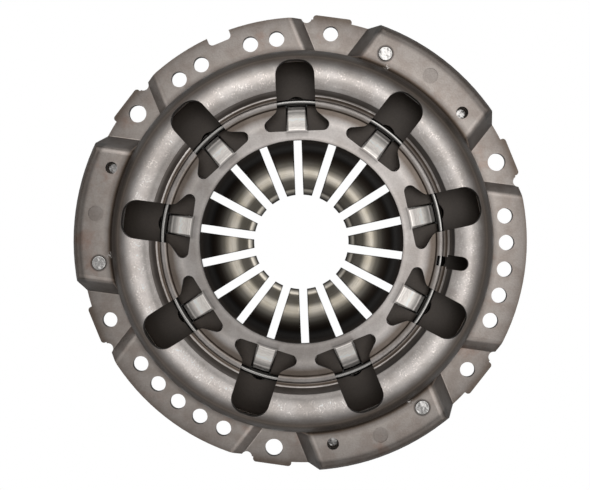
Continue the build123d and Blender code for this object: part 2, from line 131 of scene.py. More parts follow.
# %% World
scene = bpy.context.scene
scene.view_settings.view_transform = "Standard"
world = bpy.data.worlds.new("soft_tent")
scene.world = world
world.use_nodes = True
sky = world.node_tree
sky.nodes.clear()
side_angle = math.radians(38)
bright_side = right * math.cos(side_angle) + up * math.sin(side_angle)
tent_strength = 3.3


def levels(tree, value, stops):
    """A grey ramp through these (place, level) stops, with places from 0 to 1."""
    ramp = add(tree, "ShaderNodeValToRGB", {0: value})
    elements = ramp.color_ramp.elements
    elements.remove(elements[1])
    for number, (place, level) in enumerate(stops):
        element = elements.new(place) if number else elements[0]
        element.position = place
        element.color = (level, level, level, 1)
    return ramp.outputs["Color"]


def product(tree, *factors):
    """Factors multiplied together. A product of masks is 1 only where all of them are."""
    result = factors[0]
    for factor in factors[1:]:
        result = add(tree, "ShaderNodeMath", {0: result, 1: factor}, operation="MULTIPLY").outputs[0]
    return result


toward = add(sky, "ShaderNodeTexCoord").outputs["Generated"]
toward_top = add(sky, "ShaderNodeSeparateXYZ", {0: toward}).outputs["Z"]
toward_side = add(sky, "ShaderNodeVectorMath", {0: toward, 1: bright_side}, operation="DOT_PRODUCT")
across = add(sky, "ShaderNodeMapRange", {"Value": toward_side.outputs["Value"], "From Min": -1.0,
                                         "From Max": 1.0}).outputs["Result"]
tent = levels(sky, toward_top, [(0, 0.17), (0.24, 0.2), (0.34, 0.34), (0.5, 0.72), (0.64, 0.8),
                                (0.77, 1), (0.84, 0.84), (0.90, 0.46), (0.97, 0.3), (1, 0.28)])
strips = levels(sky, across, [(0, 0.46), (0.25, 0.42), (0.4, 0.22), (0.5, 0.49), (0.6, 1.05),
                              (0.68, 0.66), (0.78, 0.36), (1, 0.34)])
background = add(sky, "ShaderNodeBackground", {"Strength": product(sky, tent, strips, tent_strength)})
add(sky, "ShaderNodeOutputWorld", {"Surface": background.outputs[0]})
print("world:", len(sky.nodes), "nodes")

# %% [markdown]
# A tent alone lights evenly from all round. One wide round lamp over the bright side adds a direction, so
# that bent edges and rivet heads have a light side and a dark one. It is 1.5 m across, because a small lamp
# would leave hard white spots on bare metal.

# %% Lamp
lamp_size = 1.5
lamp_out = 0.9
lamp_height = 1.5
lamp_data = bpy.data.lights.new("side_softbox", "AREA")
lamp_data.shape = "DISK"
lamp_data.size = lamp_size
lamp_data.energy = 4.6
lamp = bpy.data.objects.new("side_softbox", lamp_data)
scene.collection.objects.link(lamp)
lamp.location = bright_side * lamp_out + Vector((0, 0, lamp_height))
lamp.rotation_mode = "QUATERNION"
lamp.rotation_quaternion = lamp.location.to_track_quat("Z", "Y")
print("lamp", [round(x, 2) for x in lamp.location])

# %% [markdown]
# ## Floor
# The part lies on white paper that is lit until it has no tone left. More lamps would do that, but they would
# bleach the steel too. So the paper shines at a strength of 1, which is plain white, for the rays that the
# camera sees straight or by way of a reflection or glass, and is matt paper for all others. The paper under
# the windows is in the cover's shade and looks dark. That is a ring from the fingers' roots out to the
# flange, and there the paper stays matt for every ray.

# %% Floor
floor_half = 4.0
floor_level = -0.2 * mm
shade_starts = (61 * mm, 63 * mm)
shade_ends = (111.5 * mm, 113.5 * mm)
floor_mesh = bpy.data.meshes.new("floor")
corners = [(-1, -1), (1, -1), (1, 1), (-1, 1)]
floor_mesh.from_pydata([(x * floor_half, y * floor_half, floor_level) for x, y in corners], [],
                       [(0, 1, 2, 3)])
floor = bpy.data.objects.new("floor", floor_mesh)
scene.collection.objects.link(floor)
paper = bpy.data.materials.new("white_paper")
paper.use_nodes = True
tree = paper.node_tree
tree.nodes.clear()
rays = add(tree, "ShaderNodeLightPath").outputs
seen = add(tree, "ShaderNodeMath", {0: rays["Is Camera Ray"], 1: rays["Is Glossy Ray"]}, operation="ADD")
seen = add(tree, "ShaderNodeMath", {0: seen.outputs[0], 1: rays["Is Transmission Ray"]}, operation="ADD",
           use_clamp=True)
spot = add(tree, "ShaderNodeNewGeometry").outputs["Position"]
reach = add(tree, "ShaderNodeVectorMath", {0: spot}, operation="LENGTH").outputs["Value"]
inside = add(tree, "ShaderNodeMapRange", {"Value": reach, "From Min": shade_starts[0],
                                          "From Max": shade_starts[1], "To Min": 1.0, "To Max": 0.0})
outside = add(tree, "ShaderNodeMapRange", {"Value": reach, "From Min": shade_ends[0],
                                           "From Max": shade_ends[1]})
open_sky = add(tree, "ShaderNodeMath", {0: inside.outputs["Result"], 1: outside.outputs["Result"]},
               operation="MAXIMUM")
glows = product(tree, seen.outputs[0], open_sky.outputs[0])
matt = add(tree, "ShaderNodeBsdfDiffuse", {"Color": "#e4e3e1"})
white = add(tree, "ShaderNodeEmission", {"Color": "#ffffff", "Strength": 1.0})
mix = add(tree, "ShaderNodeMixShader", {0: glows, 1: matt.outputs[0], 2: white.outputs[0]})
add(tree, "ShaderNodeOutputMaterial", {"Surface": mix.outputs[0]})
floor_mesh.materials.append(paper)
print("floor", 2 * floor_half, "m wide")

# %% [markdown]
# ## Where a finish lies
# Every finish starts from the real metal and from how its surface was made. Most marks on this part run round
# the crankshaft axis or repeat round it, because the press, the lathe and the bearing all do. So the patterns
# read object coordinates, and these helpers turn a point into a radius, a height and a direction, and into
# its distance from what repeats. The sizes that the finishes share with the forms come first, in
# millimetres and degrees.

# %% Shared sizes
tabs = 9
fingers = 18
first_tab = 10.0
pads = 3
strap_r = 119.0
plate_rivet_at = 36.6
cover_rivet_at = 63.8
coin_at, coin_r = 50.0, 121.2
print(tabs, "tabs,", fingers, "fingers and", pads, "pads")


# %% Helpers that find a place
def about_axis(tree):
    """The point itself, and its radius (mm), height (mm) and direction (radians) about the axis."""
    point = add(tree, "ShaderNodeTexCoord").outputs["Object"]
    parts = add(tree, "ShaderNodeSeparateXYZ", {0: point}).outputs
    flat = add(tree, "ShaderNodeVectorMath", {0: point, 1: (1, 1, 0)}, operation="MULTIPLY")
    length = add(tree, "ShaderNodeVectorMath", {0: flat.outputs[0]}, operation="LENGTH")
    radius = product(tree, length.outputs["Value"], 1 / mm)
    height = product(tree, parts["Z"], 1 / mm)
    angle = add(tree, "ShaderNodeMath", {0: parts["Y"], 1: parts["X"]}, operation="ARCTAN2").outputs[0]
    return point, radius, height, angle


def facing(tree):
    """1 on a face that looks straight up, 0 on an upright one and -1 on one that looks down."""
    normal = add(tree, "ShaderNodeNewGeometry").outputs["Normal"]
    return add(tree, "ShaderNodeSeparateXYZ", {0: normal}).outputs["Z"]


def off_nearest(tree, angle, count, start):
    """Radians from the nearest of count even directions, the first at start degrees."""
    turns = add(tree, "ShaderNodeMath", {0: angle, 1: count / math.tau, 2: 0.5 - start * count / 360},
                operation="MULTIPLY_ADD").outputs[0]
    part = add(tree, "ShaderNodeMath", {0: turns}, operation="FRACT").outputs[0]
    off = add(tree, "ShaderNodeMath", {0: part, 1: math.tau / count, 2: -math.pi / count},
              operation="MULTIPLY_ADD").outputs[0]
    return add(tree, "ShaderNodeMath", {0: off}, operation="ABSOLUTE").outputs[0]


def sideways(tree, radius, off):
    """Distance in mm from a line out of the axis, for a direction that is off radians from it."""
    return product(tree, radius, add(tree, "ShaderNodeMath", {0: off}, operation="SINE").outputs[0])


def away(tree, radius, angle, count, start, at_radius):
    """Distance in mm from the nearest of count points on a circle."""
    off = off_nearest(tree, angle, count, start)
    along = product(tree, radius, add(tree, "ShaderNodeMath", {0: off}, operation="COSINE").outputs[0])
    spot = add(tree, "ShaderNodeCombineXYZ", {0: along, 1: sideways(tree, radius, off)}).outputs[0]
    gap = add(tree, "ShaderNodeVectorMath", {0: spot, 1: (at_radius, 0, 0)}, operation="DISTANCE")
    return gap.outputs["Value"]


print("places are read in mm and radians")


# %% [markdown]
# ## Layers of a finish
# A finish is painted in layers, as a model maker would: a base colour, then another tone or colour through a
# mask. A mask is 1 where its layer shows and 0 where it doesn't, and a factor makes a tone lighter or
# darker. Both come from a place, a slope or a grain.

# %% Helpers that make masks and factors
def zone(tree, value, rise=None, fall=None):
    """A mask that goes smoothly from 0 to 1 over the pair of values rise, and back to 0 over fall."""
    sides = []
    for ends, start, end in ((rise, 0.0, 1.0), (fall, 1.0, 0.0)):
        if ends:
            side = add(tree, "ShaderNodeMapRange", {"Value": value, "From Min": ends[0],
                                                    "From Max": ends[1], "To Min": start, "To Max": end},
                       interpolation_type="SMOOTHSTEP")
            sides.append(side.outputs["Result"])
    return product(tree, *sides)


def by_radius(tree, radius, stops):
    """A factor that follows the radius in mm through these (radius, factor) stops; 1 is neutral."""
    first, last = stops[0][0], stops[-1][0]
    place = add(tree, "ShaderNodeMapRange", {"Value": radius, "From Min": first, "From Max": last})
    most = max(factor for r, factor in stops)
    places = [((r - first) / (last - first), factor / most) for r, factor in stops]
    return product(tree, levels(tree, place.outputs["Result"], places), most)


def by_slope(tree, slope, stops):
    """A factor that follows the slope through these (slope, factor) stops."""
    place = add(tree, "ShaderNodeMath", {0: slope, 1: 0.5, 2: 0.5}, operation="MULTIPLY_ADD").outputs[0]
    return levels(tree, place, [(0.5 + 0.5 * at, factor) for at, factor in stops])


def lopsided(tree, angle, toward, amount, mean=1.0):
    """A value that is more than mean by amount toward one direction in degrees, and less opposite it."""
    off = add(tree, "ShaderNodeMath", {0: angle, 1: math.radians(-toward)}, operation="ADD").outputs[0]
    lean = add(tree, "ShaderNodeMath", {0: off}, operation="COSINE").outputs[0]
    return add(tree, "ShaderNodeMath", {0: lean, 1: amount, 2: mean}, operation="MULTIPLY_ADD").outputs[0]


def grain(tree, place, size, detail=3.0, rough=0.55):
    """Grains of a size in mm, or lines round the axis of a size (length, width, radius they are true at)."""
    point, radius, _, angle = place
    scale = 1.0
    if isinstance(size, tuple):
        length, width, true_at = size
        arc = product(tree, angle, true_at / length)
        point = add(tree, "ShaderNodeCombineXYZ", {0: arc, 1: product(tree, radius, 1 / width)}).outputs[0]
    else:
        scale = 1 / (size * mm)
    return add(tree, "ShaderNodeTexNoise", {"Vector": point, "Scale": scale, "Detail": detail,
                                            "Roughness": rough}).outputs["Fac"]


line_detail, line_rough = 2.0, 0.5
print("lines round the axis: detail", line_detail, "and roughness", line_rough)


# %% [markdown]
# Through masks, one number or colour gives way to another. Every finish then ends in the Principled BSDF,
# because bare metal and dull scale are only two settings of it.

# %% Helpers that lay a finish on
def between(tree, low, high, *masks):
    """A number that is low, and turns to high where all of these masks are 1."""
    return add(tree, "ShaderNodeMix", {0: product(tree, *masks), 2: low, 3: high},
               data_type="FLOAT").outputs[0]


def laid_over(tree, under, over, *masks):
    """One colour over another, where all of these masks are 1."""
    return add(tree, "ShaderNodeMix", {0: product(tree, *masks), 6: under, 7: over},
               data_type="RGBA").outputs[2]


def toned(tree, tone, *factors):
    """A colour made darker or lighter by all of these factors."""
    return add(tree, "ShaderNodeVectorMath", {0: tone, "Scale": product(tree, *factors)},
               operation="SCALE").outputs[0]


def new_material(name):
    """An empty material and its node tree."""
    material = bpy.data.materials.new(name)
    material.use_nodes = True
    material.node_tree.nodes.clear()
    return material, material.node_tree


def metal(base, roughness, normal, metallic=1.0):
    """The shader that every metal here ends in. Its tree is the one that base is in."""
    tree = base.id_data
    shader = add(tree, "ShaderNodeBsdfPrincipled", {"Base Color": base, "Roughness": roughness,
                                                    "Metallic": metallic, "Normal": normal})
    add(tree, "ShaderNodeOutputMaterial", {"Surface": shader.outputs[0]})
    print("a finish of", len(tree.nodes), "nodes")


# %% [markdown]
# ## Pressed steel
# The cover is hot-rolled sheet drawn in a press and left bare. The sheet's own mill surface is a satin grey,
# in soft clouds about 14 mm wide, with a fine grain. Where hands and damp reach the flange it has a brown
# cast and a little rust. The next layers add what the press did to it, and painted highlights and painted
# shade.

# %% Pressed steel: the sheet
pressed_steel, tree = new_material("pressed_steel")
place = about_axis(tree)
_, radius, height, angle = place
slope = facing(tree)
cloud = grain(tree, place, 14)
fine = grain(tree, place, 1.1, 3.0, 0.7)
mill_grey = laid_over(tree, "#a59e99", "#b5afab", zone(tree, cloud, (0.35, 0.65)))
flange_brown = laid_over(tree, "#a69e98", "#9a9089", zone(tree, grain(tree, place, 9), (0.35, 0.68)))
rust_spots = zone(tree, grain(tree, place, 17, 4.0), (0.56, 0.74))
flange_brown = laid_over(tree, flange_brown, "#93705f", rust_spots, 0.45)
on_flange = zone(tree, radius, (110.5, 113))
tone = laid_over(tree, mill_grey, flange_brown, on_flange)
tone = toned(tree, tone, between(tree, 0.8, 1.2, fine))
print("sheet:", len(tree.nodes), "nodes")

# %% [markdown]
# Painted highlights and painted shade follow the radius: bright bands where crowns and crests would catch the
# light, and dark ones in the grooves and on the steep outer flank of the dome. One ramp covers the inner
# plate up to the step and another the dome and the flange. The bead's outer edge gets a thin painted
# highlight with a painted dark dip inside it. Both read a radius that is lopsided by half a millimetre, and
# the line is painted brighter on one side than on the other. Where shade is painted it is also tinted a
# little warmer.

# %% Pressed steel: painted highlights and shade by radius
# Painted highlights and shade over the inner plate, the bead and the groove outside it.
inner_plate_painted_light = by_radius(tree, radius, [
    (57.6, 0.75), (58.8, 1.2), (61, 1.03), (66, 1.03), (68.6, 1.3), (70.2, 1.1), (71.8, 0.8),
    (73.8, 0.42), (75.6, 0.4), (76.6, 0.22), (77.2, 0.6), (78.4, 0.88), (79.8, 0.85), (80.5, 0.62),
    (82.4, 0.4), (83.6, 0.5), (86, 0.72), (87, 1)])
# Painted highlight on the crown, painted shade on the steep outer flank and the flange's outer edge.
dome_painted_light = by_radius(tree, radius, [
    (88, 1), (90, 1.05), (93.4, 1.5), (95.6, 1.65), (98, 1.25), (100.6, 0.95), (103.1, 0.6),
    (105.9, 0.13), (108.8, 0.06), (110.5, 0.07), (111.8, 0.12), (113.8, 0.95), (116, 1.3),
    (121, 1.15), (126, 1.05), (130, 0.85), (133.5, 0.5), (137, 0.4)])
# Painted dark dip and painted highlight line at the bead's outer edge.
bead_radius = lopsided(tree, angle, 200, 0.5, radius)
bead_painted_dip = by_radius(tree, bead_radius, [(80.9, 1), (81.4, 0.4), (82.1, 0.4), (82.5, 1)])
bead_painted_highlight = by_radius(tree, bead_radius, [(82.3, 0), (82.7, 1), (83.15, 1), (83.4, 0)])
bead_painted_highlight = between(tree, 1.0, lopsided(tree, angle, 40, 2.0, 4.0), bead_painted_highlight)
# All the painted light and shade by radius, as one factor.
rings = product(tree, inner_plate_painted_light, bead_painted_dip, bead_painted_highlight, dome_painted_light)
print("rings:", len(tree.nodes), "nodes")

# %% [markdown]
# Painted shade darkens the sheared edges and other faces that turn from the light, most where they are
# upright. The outer wall of the dome is upright too and has a ramp of painted light and shade of its own.
# Both follow how steep the face is.

# %% Pressed steel: walls and edges
# Painted shade by slope on edges and steep faces.
edge_painted_shade = by_slope(tree, slope, [(-1, 0.8), (-0.9, 0.5), (-0.7, 0.15), (0.3, 0.2), (0.7, 0.55),
                                   (0.9, 1)])
# Painted light and shade by slope on the dome's outer wall.
wall_painted_light = by_slope(tree, slope, [(-1, 1), (-0.9, 0.7), (0.05, 1), (0.25, 0.4), (0.5, 0.27)])
wall_gain = 4.0
on_wall = zone(tree, radius, (104, 105.5), (112.6, 113.4))
steep_painted_light = between(tree, edge_painted_shade, product(tree, wall_painted_light, wall_gain), on_wall)
# The painted light and shade, by radius and by slope, go onto the tone.
tone = toned(tree, tone, rings, steep_painted_light)
# Where shade is painted, the tone is also tinted warmer.
in_painted_shade = zone(tree, rings, fall=(0.1, 0.9))
tone = add(tree, "ShaderNodeMix", {0: in_painted_shade, 6: tone, 7: "#ffecda"}, data_type="RGBA",
           blend_type="MULTIPLY").outputs[2]
print("edges and walls:", len(tree.nodes), "nodes")

# %% [markdown]
# The crown of the dome is where the sheet stretched most. Its grain opened there into small bright flakes, in
# patches, which are laid only in the crown's band of painted highlight. The crown, the step inside it and the
# shoulder between them are painted a little brighter on one side than on the other, as a light from that side
# would leave them.

# %% Pressed steel: crown
crown = by_radius(tree, radius, [(86, 0), (92, 1), (97, 1), (101, 0)])
flakes = zone(tree, grain(tree, place, (0.9, 1.3, 94), 4.0, line_rough), (0.47, 0.7))
patches = zone(tree, grain(tree, place, 5.0), (0.42, 0.62))
# Bright flakes of grain within the crown's painted highlight.
tone = toned(tree, tone, between(tree, 0.92, 1.55, flakes, patches, crown))
step = by_radius(tree, radius, [(84.4, 0), (85.4, 1), (86, 1), (86.5, 0)])
shoulder = by_radius(tree, radius, [(88.8, 0), (90.2, 1), (92, 1), (95, 0)])
# Painted light: each ring brighter on one side of the axis than on the other.
for ring, toward, amount, mean in ((crown, 190, 0.2, 1.0), (step, 160, 0.75, 1.25),
                                   (shoulder, 215, 0.295, 1.18)):
    tone = toned(tree, tone, between(tree, 1.0, lopsided(tree, angle, toward, amount, mean), ring))
print("crown:", len(tree.nodes), "nodes")

# %% [markdown]
# The strap pads stand high above the lugs, and their outer rim rolls over, so it turns from the light; this
# layer paints shade on it. The lugs at the same radius are flat and stay bright, so this layer also needs the
# height.

# %% Pressed steel: rim of the pads
# Painted shade on the pads' rolled outer rim.
pad_rim_painted_shade = by_radius(tree, radius, [(124, 1), (127.4, 1), (128.3, 0.8), (129.1, 0.53), (130, 0.5),
                                   (131.2, 0.62), (132.5, 0.75)])
on_pad = zone(tree, height, (15, 17))
tone = toned(tree, tone, between(tree, 1.0, pad_rim_painted_shade, on_pad, on_flange))
print("pads:", len(tree.nodes), "nodes")

# %% [markdown]
# The nine tabs are bent down in a second tool, which leaves rub lines across them. Each has painted shade in
# the crease at its root. Its face is painted bright as a highlight from the root bend down to the wire, with
# a darker painted band at the bend where it dives under the wire, and its sides are darkened as painted
# shade. The mask is a sector of each ninth of the turn, and the sides are told by their distance from the
# tab's middle line.

# %% Pressed steel: tabs
off_tab = off_nearest(tree, angle, tabs, first_tab)
by_tab = zone(tree, off_tab, fall=(0.09, 0.12))
# Painted shade in the crease at each tab's root.
root_crease_shade = by_radius(tree, radius, [(58.6, 1), (60, 0.85), (61.4, 0.78), (62.2, 0.45),
                                       (62.7, 0.9), (63.4, 1)])
tone = toned(tree, tone, between(tree, 1.0, root_crease_shade, by_tab))
at_tab = product(tree, by_tab, zone(tree, radius, (63, 63.4), (77.2, 77.6)))
# Painted highlight down each tab's face and root bend, and painted shade at the bend under the wire.
tab_painted_light = by_radius(tree, radius, [
    (62, 1), (63.4, 1.85), (64.1, 1.15), (65, 1.5), (66.2, 1.8), (70, 2.25), (71.2, 1.6),
    (72.2, 1.3), (73.2, 0.85), (74, 0.75), (74.7, 1.4), (75.4, 1.5), (76.2, 1.7), (77.6, 1.4)])
rub_lines = between(tree, 0.75, 1.25, grain(tree, place, (2.2, 0.8, 68), line_detail, line_rough))
# Painted shade along each tab's sides.
tab_side_shade = between(tree, 1.0, 0.25, zone(tree, sideways(tree, radius, off_tab), (4.5, 5)))
# The tabs' own colour, with the painted light above laid on it.
tab_face_and_highlight = laid_over(tree, "#b7b2ad", "#bfbab5", cloud)
tab_face_and_highlight = toned(tree, tab_face_and_highlight, tab_painted_light, rub_lines, tab_side_shade)
tone = laid_over(tree, tone, tab_face_and_highlight, at_tab)
print("tabs:", len(tree.nodes), "nodes")

# %% [markdown]
# Three small marks repeat on the pads: the dark seam round a rivet's head, the shallow round coining in the
# middle, and a scuff of bare metal on the fold beside the rivet.

# %% Pressed steel: marks on the pads
scuff_at, scuff_r = 61.8, 112.2
off_rivet = away(tree, radius, angle, pads, cover_rivet_at, strap_r)
tone = toned(tree, tone, between(tree, 0.45, 1.0, zone(tree, off_rivet, (4.6, 5.4))))
off_coin = away(tree, radius, angle, pads, coin_at, coin_r)
tone = toned(tree, tone, between(tree, 0.82, 1.0, zone(tree, off_coin, (4.1, 4.7))))
off_scuff = away(tree, radius, angle, pads, scuff_at, scuff_r)
tone = laid_over(tree, tone, "#e4e0dc", zone(tree, off_scuff, fall=(0.8, 2.4)),
                 zone(tree, fine, (0.5, 0.62)), 0.8)
print("marks:", len(tree.nodes), "nodes")

# %% [markdown]
# The draw leaves faint lines round the axis, and the mill a fine pebble that the tabs' tool irons flat. A
# torn edge scatters the light instead of mirroring it, so there the shader is rough and barely metallic.

# %% Pressed steel: lines, pebble and torn edges
draw_lines = grain(tree, place, (22, 0.45, 100), line_detail, line_rough)
bump = add(tree, "ShaderNodeBump", {"Height": draw_lines, "Strength": 0.12, "Distance": 0.2 * mm})
bump = add(tree, "ShaderNodeBump", {"Height": fine, "Strength": between(tree, 0.3, 0.08, at_tab),
                                    "Distance": 0.3 * mm, "Normal": bump.outputs[0]})
satin = between(tree, 0.36, 0.46, cloud)
torn = by_slope(tree, slope, [(-0.97, 0), (-0.8, 1), (0.3, 1), (0.7, 0)])
torn = product(tree, torn, between(tree, 1.0, 0.0, on_wall))
metal(tone, between(tree, satin, 0.8, torn), bump.outputs[0], between(tree, 1.0, 0.15, torn))

# %% [markdown]
# ## Tempered spring steel
# The spring is hardened, tempered in air and shot-peened, which leaves a near-black oxide. The release
# bearing and the grinder wear the fingers through it to a straw-tinted metal. On that, a painted highlight
# makes a bright band where each finger bends level and a narrow one at its tip, where it is greyer, and the
# disc is painted brighter on one side than on the other. The sides of a finger are darker. The colour goes
# back to black towards the root, and the root itself is painted in shade.

# %% Tempered spring steel: worn fingers
tempered_steel, tree = new_material("tempered_spring_steel")
place = about_axis(tree)
_, radius, _, angle = place
slope = facing(tree)
straw = laid_over(tree, "#948d80", "#9b958b", zone(tree, grain(tree, place, 9), (0.35, 0.65)))
straw = laid_over(tree, straw, "#979289", zone(tree, radius, fall=(28.6, 30.2)))
# Worn metal, with a painted highlight on each finger's bend and tip.
wear_and_highlight = by_radius(tree, radius, [
    (26, 0.05), (27.5, 0.22), (28.2, 0.66), (29.2, 1.5), (29.7, 1.15), (30.1, 0.3), (30.6, 0.35),
    (32.7, 0.38), (34.9, 0.45), (36, 0.95), (37.2, 2.1), (38.4, 2.45), (39.5, 2.05), (41.1, 1),
    (43.4, 0.33), (46.2, 0.13), (50, 0.09), (110, 0.1)])
ground = between(tree, 0.8, 1.2, grain(tree, place, (9, 0.4, 38), line_detail, line_rough))
off_slot = off_nearest(tree, angle, fingers, first_tab)
finger_side = between(tree, 0.3, 1.0, zone(tree, sideways(tree, radius, off_slot), (2.3, 3.1)))
# The lopsided factor is painted light, brighter towards one side.
straw = toned(tree, straw, wear_and_highlight, ground, lopsided(tree, angle, 220, 0.3), finger_side)
print("worn fingers:", len(tree.nodes), "nodes")

# %% [markdown]
# The rest of the disc keeps the oxide, with painted shade where the fingers' roots lie under the cover's
# inner edge. Its cut walls are torn and dull. The rounded edges between them and the faces get a painted
# highlight, and painted shade near the fingers' roots. Shot leaves shallow dents under 1 mm wide.

# %% Tempered spring steel: oxide and edges
oxide = laid_over(tree, "#38312c", "#4e453d", grain(tree, place, 1.2, 3.0, 0.7))
# Painted shade where the roots lie under the cover's inner edge.
root_painted_shade = by_radius(tree, radius, [(44, 0.4), (48, 0.2), (50, 0.12), (52, 0.05), (55.5, 0.2),
                                      (58.5, 0.85), (80, 0.9), (90, 0.75), (104, 0.85)])
tone = laid_over(tree, straw, toned(tree, oxide, root_painted_shade), zone(tree, radius, (44, 49)))
torn = by_slope(tree, slope, [(-0.97, 0), (-0.8, 1), (0.3, 1), (0.6, 0)])
rounded = by_slope(tree, slope, [(0.3, 0), (0.6, 1), (0.86, 1), (0.92, 0)])
# Painted highlight on rounded edges, and painted shade on them near the roots.
edge_painted_light = between(tree, 0.3, 2.5, zone(tree, radius, (55, 60)))
tone = toned(tree, tone, between(tree, 1.0, 0.3, torn), between(tree, 1.0, edge_painted_light, rounded))
peened = grain(tree, place, 0.7, 2.0)
bump = add(tree, "ShaderNodeBump", {"Height": peened, "Strength": 0.1, "Distance": 0.3 * mm})
scaly = zone(tree, radius, (50, 56))
dull = add(tree, "ShaderNodeMath", {0: torn, 1: scaly}, operation="MAXIMUM").outputs[0]
metal(tone, between(tree, 0.34, 0.55, dull), bump.outputs[0], between(tree, 1.0, 0.3, dull))

# %% [markdown]
# ## Drawn wire
# The two fulcrum rings are wire drawn through a die, which leaves it bright with faint lines along it. Its
# flanks get painted shade that follows how steep the face is, so only the crest stays bright and the wire
# shows as a thin bright line.

# %% Drawn wire
drawn_wire, tree = new_material("drawn_steel_wire")
place = about_axis(tree)
tone = laid_over(tree, "#b9b6b2", "#d5d2ce", grain(tree, place, 5))
# Painted shade on the wire's flanks, by slope.
flank_painted_shade = by_slope(tree, facing(tree), [(0, 0.04), (0.9, 0.06), (0.95, 0.2), (0.98, 0.9), (1, 1)])
die_lines = grain(tree, place, (30, 0.25, 80), line_detail, line_rough)
bump = add(tree, "ShaderNodeBump", {"Height": die_lines, "Strength": 0.1, "Distance": 0.1 * mm})
metal(toned(tree, tone, flank_painted_shade), 0.26, bump.outputs[0])

# %% [markdown]
# ## Cold-headed rivets
# A rivet's head is formed cold by a tool that leaves its face bright and a little lumpy, about 3 mm from lump
# to lump, which breaks the shine into flecks. The tone is darker in a ring round the edge of the face.

# %% Cold-headed rivets
headed_steel, tree = new_material("cold_headed_steel")
place = about_axis(tree)
_, radius, _, angle = place
tone = laid_over(tree, "#cbc8c5", "#e8e5e2", grain(tree, place, 2.5))
for start in (cover_rivet_at, plate_rivet_at):
    off_rivet = away(tree, radius, angle, pads, start, strap_r)
    seam = by_radius(tree, off_rivet, [(0, 1), (3.6, 1), (4.1, 0.4), (4.6, 0.3), (6, 1),
                                       (60, 1)])
    tone = toned(tree, tone, seam)
lumps = grain(tree, place, 3.0, 1.0)
bump = add(tree, "ShaderNodeBump", {"Height": lumps, "Strength": 0.45, "Distance": 1.2 * mm})
bump = add(tree, "ShaderNodeBump", {"Height": grain(tree, place, 0.8, 3.0), "Strength": 0.1,
                                    "Distance": 0.3 * mm, "Normal": bump.outputs[0]})
metal(tone, 0.26, bump.outputs[0])

# %% [markdown]
# ## Strap strip
# The drive straps are cut from cold-rolled spring strip. It is smoother than the cover and a darker grey,
# with a fine even grain from the rolls.

# %% Strap strip
rolled_strip, tree = new_material("rolled_spring_strip")
place = about_axis(tree)
tone = laid_over(tree, "#77706a", "#8a837d", grain(tree, place, 8))
tone = toned(tree, tone, between(tree, 0.8, 1.2, grain(tree, place, 1.0, 3.0, 0.7)))
bump = add(tree, "ShaderNodeBump", {"Height": grain(tree, place, 0.6, 2.0), "Strength": 0.1,
                                    "Distance": 0.2 * mm})
metal(tone, 0.35, bump.outputs[0])

# %% [markdown]
# ## Grey cast iron
# The pressure plate is cast in sand, so it is dark, matt and pebbly. Only its lower face, where the driven
# plate rubs, is turned flat: bright, smooth and with fine rings from the tool. Height and radius tell it.

# %% Grey cast iron
cast_iron, tree = new_material("grey_cast_iron")
place = about_axis(tree)
_, radius, height, _ = place
tone = laid_over(tree, "#4a4542", "#5d5753", grain(tree, place, 6))
turned_face = product(tree, zone(tree, height, fall=(4.7, 5.2)), zone(tree, radius, (60, 62)))
turned_rings = grain(tree, place, (60, 0.35, 90), line_detail, line_rough)
turned = laid_over(tree, "#8b8784", "#979390", grain(tree, place, 20))
tone = laid_over(tree, tone, toned(tree, turned, between(tree, 0.8, 1.15, turned_rings)), turned_face)
bump = add(tree, "ShaderNodeBump", {"Height": grain(tree, place, 1.2, 4.0), "Distance": 0.5 * mm,
                                    "Strength": between(tree, 0.5, 0.05, turned_face)})
metal(tone, between(tree, 0.58, 0.34, turned_face), bump.outputs[0], between(tree, 0.8, 1.0, turned_face))

# %% [markdown]
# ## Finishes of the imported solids
# The rings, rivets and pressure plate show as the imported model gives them, and need only a finish. A node's
# name ends in what it is, with a letter after it where there are three, so a short table finds its material.

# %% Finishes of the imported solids
finish_of = {"cover": pressed_steel, "fulcrum_ring": drawn_wire, "rivet": headed_steel,
             "pressure_plate": cast_iron}
dressed = 0
for name, node in nodes.items():
    for ending, material in finish_of.items():
        if name.endswith(ending) or name[:-2].endswith(ending):
            node.material_slots[0].material = material
            dressed += 1
print(dressed, "packed solids have their finish")

# %% [markdown]
# ## Cover
# The press leaves a small radius on every edge that it shears or bends, and it is this radius that catches
# the light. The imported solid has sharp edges, so a copy of it is rounded by a Bevel modifier. The helpers
# do that, and leave a plain mesh that can ride on a body.

# %% Helpers that round and plain a mesh
def plain_copy(thing, name):
    """What an object's modifiers make, as a plain mesh object of its own."""
    graph = bpy.context.evaluated_depsgraph_get()
    mesh = bpy.data.meshes.new_from_object(thing.evaluated_get(graph))
    mesh.name = name
    made = bpy.data.objects.new(name, mesh)
    scene.collection.objects.link(made)
    return made


def round_edges(thing, name, width, sharper_than):
    """A Bevel modifier on every edge that turns by more than this many degrees."""
    rounding = thing.modifiers.new(name, "BEVEL")
    rounding.width = width
    rounding.segments = 2
    rounding.limit_method = "ANGLE"
    rounding.angle_limit = math.radians(sharper_than)
    print(thing.name, "edges rounded to", round(width / mm, 2), "mm")


# %% [markdown]
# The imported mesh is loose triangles. They are merged and the flat runs among them joined, so that the Bevel
# sees only real edges. A Weighted Normal modifier then keeps the flat faces flat in the light.

